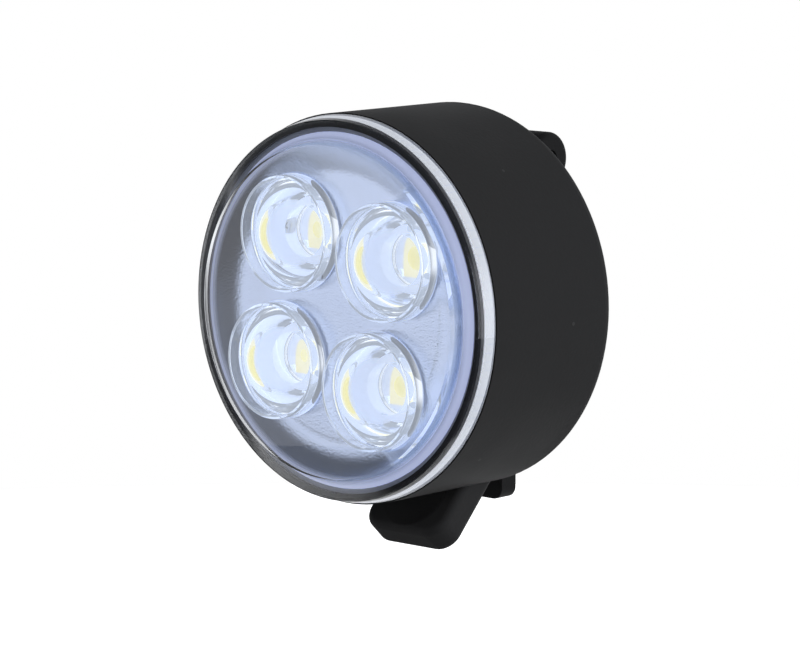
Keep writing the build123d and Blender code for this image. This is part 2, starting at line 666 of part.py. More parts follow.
# Side switch at the board's edge, its stem, and the plunger through the shell
PLUNGER_FLANGE_X = SHELL_BORE - END_CLEARANCE
STEM_X = PLUNGER_FLANGE_X - PLUNGER_FLANGE
SWITCH_FACE_X = STEM_X - BUTTON_TRAVEL - RUNNING_CLEARANCE
with BuildPart() as tact_switch:
    with BuildSketch(side_plane(-SWITCH_FACE_X)):
        with Locations((BOARD_BACK_Y + SWITCH_SIZE[2] / 2, 0)):
            Rectangle(SWITCH_SIZE[2], SWITCH_SIZE[1])
    extrude(amount=SWITCH_SIZE[0])
    with BuildSketch(side_plane(-SWITCH_FACE_X)):
        with Locations((BUTTON_Y, 0)):
            Circle(STEM_RADIUS + RUNNING_CLEARANCE)
    extrude(amount=2 * STEM_LENGTH + BUTTON_TRAVEL, mode=Mode.SUBTRACT)
write(tact_switch, "tact_switch")

with BuildPart() as switch_stem:
    with BuildSketch(side_plane(-STEM_X)):
        with Locations((BUTTON_Y, 0)):
            Circle(STEM_RADIUS)
    extrude(amount=2 * STEM_LENGTH)
write(switch_stem, "switch_stem")

with BuildPart() as switch_plunger:
    with BuildSketch(side_plane(-STEM_X)):
        with Locations((BUTTON_Y, 0)):
            Circle(PLUNGER_FLANGE_RADIUS)
    extrude(amount=-PLUNGER_FLANGE)
    with BuildSketch(side_plane(-STEM_X)):
        with Locations((BUTTON_Y, 0)):
            Circle(PLUNGER_RADIUS)
    extrude(amount=-(SHELL_RADIUS - RUNNING_CLEARANCE - STEM_X))
write(switch_plunger, "switch_plunger")

with BuildPart() as plunger_seal:
    seal_bore = PLUNGER_RADIUS + RUNNING_CLEARANCE
    with BuildSketch(side_plane(-SHELL_BORE)):
        with Locations((BUTTON_Y, 0)):
            Circle(seal_bore + PLUNGER_SEAL_WALL)
            Circle(seal_bore, mode=Mode.SUBTRACT)
    extrude(amount=-PLUNGER_SEAL_LENGTH)
write(plunger_seal, "plunger_seal")

# Cradle that centres the cells behind the board, with a gap for the side contact
with BuildPart() as battery_cradle:
    with BuildSketch(facing(CRADLE_BACK_Y)):
        Circle(CRADLE_BORE + CRADLE_WALL)
    extrude(amount=CRADLE_BACK_Y - CRADLE_FRONT_Y)
    with BuildSketch(facing(CRADLE_BACK_Y)):
        Circle(CRADLE_BORE)
    extrude(amount=CRADLE_BACK_Y - CRADLE_FRONT_Y - CRADLE_FLOOR, mode=Mode.SUBTRACT)
    with BuildSketch(facing(CRADLE_BACK_Y)):
        Circle(CRADLE_HOLE_RADIUS)
        with Locations((CRADLE_BORE, 0)):
            Rectangle(2 * CRADLE_WALL + 1, CONTACT_WIDTH + 2 * END_CLEARANCE)
    extrude(amount=CRADLE_BACK_Y - CRADLE_FRONT_Y, mode=Mode.SUBTRACT)
    with BuildSketch(facing(CRADLE_FRONT_Y)):
        with PolarLocations(CRADLE_BORE + CRADLE_WALL / 2, 3, start_angle=CRADLE_FOOT_TURN):
            Circle(CRADLE_FOOT_RADIUS)
    extrude(amount=CRADLE_FRONT_Y - BOARD_BACK_Y)
write(battery_cradle, "battery_cradle")

# Coin cells: a can with a stepped lid that faces the board
for i, name in enumerate(("coin_cell_front", "coin_cell_rear")):
    cell_back = CELL_FRONT_Y + (i + 1) * CELL_HEIGHT
    with BuildPart() as coin_cell:
        with BuildSketch(facing(cell_back)):
            Circle(CELL_RADIUS)
        extrude(amount=CELL_HEIGHT - CELL_LID_STEP)
        fillet(coin_cell.edges().group_by(Axis.Y)[-1], CELL_ROUND)
        with BuildSketch(facing(cell_back - CELL_HEIGHT + CELL_LID_STEP)):
            Circle(CELL_LID_RADIUS)
        extrude(amount=CELL_LID_STEP)
    write(coin_cell, name)

# Side contact of the cells: a foot on the board and a blade along both cans
with BuildPart() as positive_contact:
    blade_inner = CELL_RADIUS + RUNNING_CLEARANCE
    blade_outer = blade_inner + CONTACT_THICKNESS
    with BuildSketch(facing(BOARD_BACK_Y + CONTACT_THICKNESS)):
        with Locations((blade_inner + CONTACT_FOOT / 2, 0)):
            Rectangle(CONTACT_FOOT, CONTACT_WIDTH)
    extrude(amount=CONTACT_THICKNESS)
    with BuildSketch(facing(CRADLE_BACK_Y)):
        with Locations(((blade_inner + blade_outer) / 2, 0)):
            Rectangle(CONTACT_THICKNESS, CONTACT_WIDTH)
    extrude(amount=CRADLE_BACK_Y - BOARD_BACK_Y)
write(positive_contact, "positive_contact")

# Centre contact: a bent leaf from the board to the front cell's lid
with BuildPart() as negative_contact:
    leaf_top = CELL_FRONT_Y - CONTACT_THICKNESS / 2
    leaf_foot = BOARD_BACK_Y + CONTACT_THICKNESS / 2
    with BuildSketch(Plane.XY.offset(-CONTACT_WIDTH / 2)):
        with BuildLine():
            Polyline(
                (LEAF_POINTS[0], leaf_foot),
                (LEAF_POINTS[1], leaf_foot),
                (LEAF_POINTS[2], leaf_top),
                (LEAF_POINTS[3], leaf_top),
                (LEAF_POINTS[4], leaf_top - LEAF_TIP_DROP),
            )
        trace(line_width=CONTACT_THICKNESS)
    extrude(amount=CONTACT_WIDTH)
write(negative_contact, "negative_contact")

# Battery cover: disc with a coin slot, a spigot round the cell, and bayonet lugs
SEAL_MIDDLE_Y = COVER_BACK_Y - COVER_THICKNESS / 2
with BuildPart() as battery_cover:
    with BuildSketch(facing(COVER_BACK_Y)):
        Circle(COVER_RADIUS)
    extrude(amount=COVER_THICKNESS)
    with BuildSketch(facing(COVER_FRONT_Y)):
        Circle(SPIGOT_RADIUS)
        Circle(SPIGOT_BORE, mode=Mode.SUBTRACT)
    extrude(amount=SPIGOT_DEPTH)
    with BuildSketch(facing(SPIGOT_FRONT_Y + LUG_THICKNESS)):
        for angle in LUG_ANGLES:
            add(sector(LUG_RADIUS, angle, LUG_HALF_ANGLE))
        Circle(SPIGOT_BORE, mode=Mode.SUBTRACT)
    extrude(amount=LUG_THICKNESS)
    with BuildSketch(facing(COVER_BACK_Y)):
        SlotOverall(COIN_SLOT[0], COIN_SLOT[1])
    extrude(amount=COIN_SLOT[2], mode=Mode.SUBTRACT)
    with BuildSketch(facing(SEAL_MIDDLE_Y + COVER_SEAL_SIZE[1] / 2)):
        Circle(COVER_RADIUS + 1)
        Circle(COVER_RADIUS - COVER_SEAL_SIZE[0], mode=Mode.SUBTRACT)
    extrude(amount=COVER_SEAL_SIZE[1], mode=Mode.SUBTRACT)
write(battery_cover, "battery_cover")

with BuildPart() as cover_seal:
    with BuildSketch(facing(SEAL_MIDDLE_Y + COVER_SEAL_SIZE[1] / 2)):
        Circle(COVER_OPENING - RUNNING_CLEARANCE)
        Circle(COVER_RADIUS - COVER_SEAL_SIZE[0], mode=Mode.SUBTRACT)
    extrude(amount=COVER_SEAL_SIZE[1])
write(cover_seal, "cover_seal")
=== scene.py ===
"""A round four-LED bicycle light in a black silicone jacket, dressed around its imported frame."""
import logging
import math
from dataclasses import dataclass
from enum import Enum

import bpy
import numpy as np
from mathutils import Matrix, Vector


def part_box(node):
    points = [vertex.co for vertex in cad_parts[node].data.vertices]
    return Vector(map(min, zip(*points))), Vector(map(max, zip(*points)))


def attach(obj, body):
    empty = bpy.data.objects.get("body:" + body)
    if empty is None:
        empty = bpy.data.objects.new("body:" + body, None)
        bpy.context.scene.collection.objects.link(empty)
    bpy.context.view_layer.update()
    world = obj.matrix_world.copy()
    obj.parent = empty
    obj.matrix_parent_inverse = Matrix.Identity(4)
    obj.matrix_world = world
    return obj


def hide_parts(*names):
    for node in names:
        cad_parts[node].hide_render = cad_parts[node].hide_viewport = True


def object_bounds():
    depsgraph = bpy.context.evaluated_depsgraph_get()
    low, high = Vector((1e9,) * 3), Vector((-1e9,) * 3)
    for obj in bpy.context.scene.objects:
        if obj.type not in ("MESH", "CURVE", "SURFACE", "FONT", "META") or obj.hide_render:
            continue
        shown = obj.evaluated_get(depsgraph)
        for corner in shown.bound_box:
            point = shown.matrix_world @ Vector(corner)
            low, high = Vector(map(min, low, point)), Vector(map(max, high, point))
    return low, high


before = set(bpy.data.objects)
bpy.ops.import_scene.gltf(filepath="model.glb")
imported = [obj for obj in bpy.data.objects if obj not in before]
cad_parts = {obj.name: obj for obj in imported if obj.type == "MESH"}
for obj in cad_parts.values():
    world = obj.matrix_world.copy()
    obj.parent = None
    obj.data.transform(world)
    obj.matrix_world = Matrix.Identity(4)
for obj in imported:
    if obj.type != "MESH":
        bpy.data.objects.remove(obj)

CAD_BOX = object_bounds()
MM = 0.001
WHITE = (1.0, 1.0, 1.0)
BUMP_HEIGHT = 0.0001
NEAR_AXIS = 1e-9
CORNERS = ("lower_right", "upper_right", "upper_left", "lower_left")
Colour = tuple[float, float, float]
Pair = tuple[float, float]
Shell = tuple[np.ndarray, list[tuple[int, ...]]]
log = logging.getLogger("bicycle_light")
logging.basicConfig(level=logging.INFO, format="%(message)s")


class Bump(Enum):
    """The kinds of fine relief that a surface can carry."""

    GRAIN = "grain"
    BRUSHED = "brushed"


class Tree:
    """A node tree with short calls for adding and joining nodes."""

    MIX_FACTOR, MIX_A, MIX_B, MIX_RESULT = 0, 6, 7, 2

    def __init__(self, tree: bpy.types.NodeTree) -> None:
        """Keeps the tree.

        Args:
            tree: The material's, world's or group's node tree.
        """
        self.tree = tree

    def add(self, kind: str, **settings: object) -> bpy.types.Node:
        """Adds a node and sets its plain properties.

        Args:
            kind: The node's Blender type name.
            **settings: Property names and values, such as operation="MULTIPLY".

        Returns:
            The new node.
        """
        node = self.tree.nodes.new(kind)
        for key, value in settings.items():
            setattr(node, key, value)
        return node

    def join(self, source: bpy.types.NodeSocket, target: bpy.types.NodeSocket) -> None:
        """Links an output socket to an input socket."""
        self.tree.links.new(source, target)

    def put(self, value: object, target: bpy.types.NodeSocket) -> None:
        """Joins a socket to an input, or sets the input to a plain value.

        Args:
            value: The socket or the value.
            target: The input.
        """
        if isinstance(value, bpy.types.NodeSocket):
            self.join(value, target)
        else:
            target.default_value = value

    def feed(self, node: bpy.types.Node, **values: object) -> bpy.types.Node:
        """Sets a node's inputs by name, from sockets or plain values.

        Args:
            node: The node to feed.
            **values: Input names, with _ for a space, and what each one takes.

        Returns:
            The same node.
        """
        for key, value in values.items():
            self.put(value, node.inputs[key.replace("_", " ")])
        return node

    def maths(
        self, operation: str, a: object, b: object = 0.0, clamp: bool = False
    ) -> bpy.types.NodeSocket:
        """Adds a Math node.

        Args:
            operation: The node's operation.
            a: First value or socket.
            b: Second value or socket.
            clamp: Whether the result is held between 0 and 1.

        Returns:
            The result's socket.
        """
        node = self.add("ShaderNodeMath", operation=operation, use_clamp=clamp)
        self.put(a, node.inputs[0])
        self.put(b, node.inputs[1])
        return node.outputs[0]

    def complement(self, share: bpy.types.NodeSocket) -> bpy.types.NodeSocket:
        """Adds 1 minus a share, and returns its socket."""
        return self.maths("SUBTRACT", 1.0, share)

    def mix(self, factor: object, a: object, b: object) -> bpy.types.NodeSocket:
        """Adds a colour Mix node.

        Args:
            factor: How much of b is taken, a value or socket.
            a: Colour or socket at factor 0.
            b: Colour or socket at factor 1.

        Returns:
            The mixed colour's socket.
        """
        node = self.add("ShaderNodeMix", data_type="RGBA")
        self.put(factor, node.inputs[self.MIX_FACTOR])
        for index, value in ((self.MIX_A, a), (self.MIX_B, b)):
            colour = (*value, 1.0) if isinstance(value, tuple) else value
            self.put(colour, node.inputs[index])
        return node.outputs[self.MIX_RESULT]

    def ramp(self, value: bpy.types.NodeSocket, low: float, high: float) -> bpy.types.NodeSocket:
        """Adds a smooth step from 0 at low to 1 at high.

        Args:
            value: The socket to map.
            low: Where the step starts.
            high: Where it ends.

        Returns:
            The step's socket.
        """
        node = self.add("ShaderNodeMapRange", interpolation_type="SMOOTHSTEP")
        self.feed(node, Value=value, From_Min=low, From_Max=high, To_Min=0.0, To_Max=1.0)
        return node.outputs["Result"]

    def noise(
        self, scale: object, detail: float, place: bpy.types.NodeSocket | None = None
    ) -> bpy.types.NodeSocket:
        """Adds a Noise Texture.

        Args:
            scale: Its scale, a value or socket.
            detail: Its detail.
            place: The coordinates that it reads, or None for the node's own.

        Returns:
            The noise's socket.
        """
        node = self.feed(self.add("ShaderNodeTexNoise"), Scale=scale, Detail=detail)
        if place is not None:
            self.join(place, node.inputs["Vector"])
        return node.outputs["Fac"]

    def object_place(self) -> bpy.types.NodeSocket:
        """Adds Texture Coordinate, and returns its Object socket."""
        return self.add("ShaderNodeTexCoord").outputs["Object"]

    def axes(self, vector: bpy.types.NodeSocket) -> tuple[bpy.types.NodeSocket, ...]:
        """Splits a vector.

        Args:
            vector: The vector's socket.

        Returns:
            The X, Y and Z sockets.
        """
        node = self.add("ShaderNodeSeparateXYZ")
        self.join(vector, node.inputs[0])
        return tuple(node.outputs)


class SharedGroups:
    """Shader node groups that several finishes use, each built once."""

    FINE_DETAIL, SOFT_DETAIL, PATCH_DETAIL = 3.0, 2.0, 1.0
    WIDE_SHARE = 0.21
    BRUSH_STRETCH = (1.0, 1.0, 0.03)
    PATCH_SCALE = 190.0
    DRIFT_STEP = (0.35, 0.65)

    def __init__(self) -> None:
        """Builds every group."""
        self.grain = self._grain()
        self.brushed = self._brushed()
        self.specks = self._specks()
        self.drift = self._drift()
        self.outside = self._outside()

    @staticmethod
    def _start(
        name: str, inputs: dict[str, float]
    ) -> tuple[bpy.types.NodeTree, Tree, bpy.types.Node]:
        """Starts a group with float inputs.

        Args:
            name: The group's name.
            inputs: Input names and default values.

        Returns:
            The group, its tree and its input node.
        """
        group = bpy.data.node_groups.new(name, "ShaderNodeTree")
        for key, value in inputs.items():
            socket = group.interface.new_socket(key, in_out="INPUT", socket_type="NodeSocketFloat")
            socket.default_value = value
        tree = Tree(group)
        return group, tree, tree.add("NodeGroupInput")

    @staticmethod
    def _end(
        group: bpy.types.NodeTree, tree: Tree, outputs: dict[str, bpy.types.NodeSocket]
    ) -> bpy.types.NodeTree:
        """Adds the group's float outputs and joins them.

        Args:
            group: The group.
            tree: Its tree.
            outputs: Output names and what each one gives out.

        Returns:
            The finished group.
        """
        for key in outputs:
            group.interface.new_socket(key, in_out="OUTPUT", socket_type="NodeSocketFloat")
        out = tree.add("NodeGroupOutput")
        for key, socket in outputs.items():
            tree.join(socket, out.inputs[key])
        return group

    def _grain(self) -> bpy.types.NodeTree:
        """Fine moulded grain: two sizes of noise added, on Object coordinates."""
        group, tree, given = self._start("moulded grain", {"Scale": 1500.0, "Coarse": 0.3})
        place, scale = tree.object_place(), given.outputs["Scale"]
        fine = tree.noise(scale, self.FINE_DETAIL, place)
        wide_scale = tree.maths("MULTIPLY", scale, self.WIDE_SHARE)
        wide = tree.noise(wide_scale, self.SOFT_DETAIL, place)
        weighted = tree.maths("MULTIPLY", wide, given.outputs["Coarse"])
        return self._end(group, tree, {"Height": tree.maths("ADD", fine, weighted)})

    def _brushed(self) -> bpy.types.NodeTree:
        """Brushed metal: noise stretched about thirty times along Z."""
        group, tree, given = self._start("brushed metal", {"Scale": 2500.0})
        stretch = tree.add("ShaderNodeMapping")
        tree.feed(stretch, Vector=tree.object_place(), Scale=self.BRUSH_STRETCH)
        lines = tree.noise(given.outputs["Scale"], self.SOFT_DETAIL, stretch.outputs[0])
        return self._end(group, tree, {"Height": lines})

    def _specks(self) -> bpy.types.NodeTree:
        """Tiny scattered specks: the middles of widely spaced Voronoi cells, thinned by noise."""
        group, tree, given = self._start("specks", {"Scale": 420.0, "Size": 0.09, "Share": 0.6})
        place = tree.object_place()
        cells = tree.add("ShaderNodeTexVoronoi")
        tree.feed(cells, Vector=place, Scale=given.outputs["Scale"])
        near = tree.maths("LESS_THAN", cells.outputs["Distance"], given.outputs["Size"])
        patch = tree.noise(self.PATCH_SCALE, self.PATCH_DETAIL, place)
        some = tree.maths("GREATER_THAN", patch, given.outputs["Share"])
        return self._end(group, tree, {"Mask": tree.maths("MULTIPLY", near, some)})

    def _drift(self) -> bpy.types.NodeTree:
        """Slow drift of tone over a surface: wide soft noise as a mask."""
        group, tree, given = self._start("tone drift", {"Scale": 60.0})
        cloud = tree.noise(given.outputs["Scale"], self.SOFT_DETAIL, tree.object_place())
        return self._end(group, tree, {"Mask": tree.ramp(cloud, *self.DRIFT_STEP)})

    def _outside(self) -> bpy.types.NodeTree:
        """Mask of what lies past a radius from the Y axis: a soft step of sqrt(x^2 + z^2)."""
        inputs = {"Radius": 0.0165, "Softness": 0.0001}
        group, tree, given = self._start("outside a radius", inputs)
        x, _, z = tree.axes(tree.object_place())
        squares = [tree.maths("MULTIPLY", side, side) for side in (x, z)]
        away = tree.maths("SQRT", tree.maths("ADD", *squares))
        past = tree.maths("SUBTRACT", away, given.outputs["Radius"])
        share = tree.maths("DIVIDE", past, given.outputs["Softness"])
        return self._end(group, tree, {"Mask": tree.maths("ADD", share, 0.5, clamp=True)})


def place_group(tree: Tree, group: bpy.types.NodeTree, **values: float) -> bpy.types.NodeSocket:
    """Places a shared group in a material.

    Args:
        tree: The material's tree.
        group: The shared group.
        **values: The group's own input values.

    Returns:
        The group's only output.
    """
    node = tree.add("ShaderNodeGroup", node_tree=group)
    return tree.feed(node, **values).outputs[0]


@dataclass(frozen=True)
class Finish:
    """An opaque finish: a drifting tone, specks of dust, grain or brushing, gloss and a painted
    glow.

    Where it has a zone_radius, what lies further from the light's axis than that takes the
    zone's own tone, roughness and painted glow, and isn't metallic.
    """

    name: str
    base: Colour
    second: Colour
    roughness: float = 0.6
    roughness_drift: float = 0.08
    metallic: float = 0.0
    specular: float = 0.5
    coat: float = 0.0
    bump: Bump = Bump.GRAIN
    grain_scale: float = 1500.0
    grain_coarse: float = 0.3
    grain_depth: float = 0.12
    speck_tone: Colour | None = None
    speck_scale: float = 420.0
    speck_size: float = 0.09
    speck_share: float = 0.6
    # glow, glow_strength and zone_glow are painted light: emission on a part that is no lamp.
    glow: Colour | None = None
    glow_strength: float = 0.0
    zone_radius: float | None = None
    zone_softness: float = 0.0001
    zone_tone: Colour = (0.5, 0.5, 0.5)
    zone_roughness: float = 0.5
    zone_glow: float = 0.0

    def build(self, groups: SharedGroups) -> bpy.types.Material:
        """Builds the material.

        Args:
            groups: The shared node groups.

        Returns:
            The new material.
        """
        material, tree, shader = new_material(self.name)
        drift = place_group(tree, groups.drift)
        colour = tree.mix(drift, self.base, self.second)
        if self.speck_tone is not None:
            dust = {"Scale": self.speck_scale, "Size": self.speck_size, "Share": self.speck_share}
            colour = tree.mix(place_group(tree, groups.specks, **dust), colour, self.speck_tone)
        drifted = tree.maths("MULTIPLY", drift, self.roughness_drift)
        rough = tree.maths("ADD", drifted, self.roughness)
        metallic, strength = self.metallic, self.glow_strength
        if self.zone_radius is not None:
            edge = {"Radius": self.zone_radius, "Softness": self.zone_softness}
            zone = place_group(tree, groups.outside, **edge)
            colour = tree.mix(zone, colour, self.zone_tone)
            change = tree.maths("MULTIPLY", zone, self.zone_roughness - self.roughness)
            rough = tree.maths("ADD", rough, change)
            if self.metallic > 0:
                metallic = tree.maths("MULTIPLY", tree.complement(zone), self.metallic)
            if self.glow is not None:
                more = tree.maths("MULTIPLY", zone, self.zone_glow - self.glow_strength)
                strength = tree.maths("ADD", more, self.glow_strength)
        tree.feed(shader, Base_Color=colour, Roughness=rough, Metallic=metallic)
        tree.feed(shader, Specular_IOR_Level=self.specular, Coat_Weight=self.coat)
        if self.glow is not None:
            tree.feed(shader, Emission_Color=(*self.glow, 1.0), Emission_Strength=strength)
        if self.bump is Bump.BRUSHED:
            height = place_group(tree, groups.brushed, Scale=self.grain_scale)
        else:
            grain = {"Scale": self.grain_scale, "Coarse": self.grain_coarse}
            height = place_group(tree, groups.grain, **grain)
        add_relief(tree, shader, height, self.grain_depth)
        return material


@dataclass(frozen=True)
class ClearFinish:
    """Clear moulded plastic, faintly tinted, with soft moulding waves in its surface, and a painted
    glow where glow_strength is above 0.
    """

    name: str
    tint: Colour
    ior: float = 1.49
    roughness: float = 0.0
    # glow and glow_strength are painted light: emission inside a clear piece that is no lamp.
    glow: Colour = (0.72, 0.82, 1.0)
    glow_strength: float = 0.0
    wave_scale: float = 160.0
    wave_coarse: float = 1.0
    wave_depth: float = 0.02

    def build(self, groups: SharedGroups) -> bpy.types.Material:
        """Builds the material.

        Args:
            groups: The shared node groups.

        Returns:
            The new material.
        """
        material, tree, shader = new_material(self.name)
        tree.feed(shader, Base_Color=(*self.tint, 1.0), Roughness=self.roughness)
        tree.feed(shader, Transmission_Weight=1.0, IOR=self.ior)
        tree.feed(shader, Emission_Color=(*self.glow, 1.0), Emission_Strength=self.glow_strength)
        waves = place_group(tree, groups.grain, Scale=self.wave_scale, Coarse=self.wave_coarse)
        add_relief(tree, shader, waves, self.wave_depth)
        return material


def new_material(name: str) -> tuple[bpy.types.Material, Tree, bpy.types.Node]:
    """Starts a material with a Principled shader.

    Args:
        name: The material's name.

    Returns:
        The material, its tree and its shader node.
    """
    material = bpy.data.materials.new(name)
    material.use_nodes = True
    material.node_tree.nodes.clear()
    tree = Tree(material.node_tree)
    shader = tree.add("ShaderNodeBsdfPrincipled")
    out = tree.add("ShaderNodeOutputMaterial")
    tree.join(shader.outputs[0], out.inputs["Surface"])
    return material, tree, shader


def add_relief(
    tree: Tree, shader: bpy.types.Node, height: bpy.types.NodeSocket, depth: float
) -> None:
    """Adds a Bump node that feeds the shader's normal.

    Args:
        tree: The material's tree.
        shader: Its shader.
        height: The relief's height.
        depth: The relief's strength.
    """
    relief = tree.add("ShaderNodeBump")
    tree.feed(relief, Strength=depth, Distance=BUMP_HEIGHT, Height=height)
    tree.join(relief.outputs[0], shader.inputs["Normal"])


def new_object(name: str, data: bpy.types.ID) -> bpy.types.Object:
    """Makes an object of a mesh, camera or lamp, and links it into the scene.

    Args:
        name: The object's name.
        data: What it shows.

    Returns:
        The new object.
    """
    obj = bpy.data.objects.new(name, data)
    bpy.context.scene.collection.objects.link(obj)
    return obj


def dress(obj: bpy.types.Object, material: bpy.types.Material) -> None:
    """Gives an object one material in place of what it has."""
    obj.data.materials.clear()
    obj.data.materials.append(material)


def rounded_profile(corners: list[Pair], radii: list[float], steps: int = 6) -> np.ndarray:
    """Rounds the inner corners of an open profile.

    Each corner is cut back along both runs by radius * tan(turn / 2), and the points between
    lie on the quadratic curve (1-t)^2 a + 2t(1-t) corner + t^2 b, with t from 0 to 1.

    Args:
        corners: The profile's corners as (radius, y) in millimetres.
        radii: One radius for each inner corner, 0 for a sharp one.
        steps: Runs along each rounded corner.

    Returns:
        An array of (radius, y) points.
    """
    points = np.array(corners, float)
    parts = [points[:1]]
    t = np.linspace(0.0, 1.0, steps + 1)[:, None]
    for before, corner, after, radius in zip(points[:-2], points[1:-1], points[2:], radii):
        if radius == 0:
            parts.append(corner[None])
            continue
        first, second = before - corner, after - corner
        first, second = first / np.linalg.norm(first), second / np.linalg.norm(second)
        half_turn = (math.pi - math.acos(float(np.clip(first @ second, -1, 1)))) / 2
        back = radius * math.tan(half_turn)
        a, b = corner + back * first, corner + back * second
        parts.append((1 - t) ** 2 * a + 2 * t * (1 - t) * corner + t**2 * b)
    parts.append(points[-1:])
    return np.concatenate(parts)


def cap_curve(radius: float, rim: float, crown: float, steps: int = 24) -> np.ndarray:
    """A dome's profile from its crown on the axis out to its rim.

    With rise h = |rim - crown| and sphere radius R = (radius^2 + h^2) / 2h, the depth below
    the crown at distance r from the axis is R - sqrt(R^2 - r^2).

    Args:
        radius: The rim's radius.
        rim: The rim's y.
        crown: The crown's y.
        steps: Runs from crown to rim.

    Returns:
        An array of (radius, y) points.
    """
    rise = abs(rim - crown)
    sphere = (radius**2 + rise**2) / (2 * rise)
    r = np.linspace(0.0, radius, steps + 1)
    depth = sphere - np.sqrt(sphere**2 - r**2)
    return np.stack([r, crown + math.copysign(1, rim - crown) * depth], 1)


def swept_arc(start: Pair, middle: Pair, end: Pair, steps: int) -> np.ndarray:
    """Points on the circle through three points, from the first to the last.

    Args:
        start: First (radius, y).
        middle: A point between.
        end: Last (radius, y).
        steps: Runs along the arc.

    Returns:
        An array of (radius, y) points.
    """
    a, b, c = (np.array(p, float) for p in (start, middle, end))
    rows = np.stack([2 * (b - a), 2 * (c - b)])
    centre = np.linalg.solve(rows, np.array([b @ b - a @ a, c @ c - b @ b]))
    angles = np.unwrap([math.atan2(*(p - centre)[::-1]) for p in (a, b, c)])
    t = np.linspace(angles[0], angles[2], steps + 1)
    return centre + np.linalg.norm(a - centre) * np.stack([np.cos(t), np.sin(t)], 1)


def lathe(profile: np.ndarray, centre: Pair, segments: int) -> Shell:
    """Turns a profile about an axis along Y.

    Point (i, j) is (cx + r_i cos a_j, y_i, cz + r_i sin a_j), with a_j = 2 pi j / segments.
    An end of the profile on the axis becomes one pole point; otherwise the profile's two ends
    are joined, as on a ring.

    Args:
        profile: (radius, y) points in millimetres.
        centre: The axis's (x, z) in millimetres.
        segments: Steps round the axis.

    Returns:
        Points in metres and faces that point outwards.
    """
    on_axis = profile[:, 0] < NEAR_AXIS
    rings = profile[~on_axis]
    a = np.linspace(0, 2 * math.pi, segments, endpoint=False)
    r, y = rings[:, :1], rings[:, 1:]
    grid = np.stack([centre[0] + r * np.cos(a), y + 0 * a, centre[1] + r * np.sin(a)], -1)
    points = grid.reshape(-1, 3)
    n = len(rings)
    closed = not on_axis.any()
    i = np.arange(n if closed else n - 1)[:, None]
    j = np.arange(segments)[None, :]
    up, round_ = (i + 1) % n, (j + 1) % segments
    quads = np.stack(
        [i * segments + j, i * segments + round_, up * segments + round_, up * segments + j], -1
    ).reshape(-1, 4)
    faces = [tuple(q) for q in quads.tolist()]
    if not closed:
        poles = [
            [centre[0], profile[0, 1], centre[1]],
            [centre[0], profile[-1, 1], centre[1]],
        ]
        points = np.concatenate([points, poles])
        first, last = n * segments, n * segments + 1
        ring = np.arange(segments)
        after = (ring + 1) % segments
        base = (n - 1) * segments
        start = np.stack([np.full(segments, first), after, ring], 1)
        end = np.stack([np.full(segments, last), base + ring, base + after], 1)
        faces += [tuple(f) for f in np.concatenate([start, end]).tolist()]
    return points * MM, faces


def add_piece(name: str, shells: list[Shell], sharp: float = 28.0) -> bpy.types.Object:
    """Makes one object of closed shells, with faces outwards and smooth shading between creases.

    The sum of a . (b x c) over a shell's triangles is six times its volume, and below 0 where
    its faces need turning round.

    Args:
        name: The piece's name.
        shells: Points and faces of each shell.
        sharp: The crease angle in degrees.

    Returns:
        The new object.
    """
    points, faces, offset = [], [], 0
    for shell_points, shell_faces in shells:
        fans = np.array([(f[0], f[k], f[k + 1]) for f in shell_faces for k in range(1, len(f) - 1)])
        a, b, c = (shell_points[fans[:, k]] for k in range(3))
        six_volumes = float(np.einsum("ij,ij->i", a, np.cross(b, c)).sum())
        turned = shell_faces if six_volumes > 0 else [f[::-1] for f in shell_faces]
        faces += [tuple(v + offset for v in f) for f in turned]
        points.append(shell_points)
        offset += len(shell_points)
    mesh = bpy.data.meshes.new(name)
    mesh.from_pydata(np.concatenate(points).tolist(), [], faces)
    mesh.validate()
    mesh.shade_smooth()
    mesh.set_sharp_from_angle(angle=math.radians(sharp))
    return new_object(name, mesh)


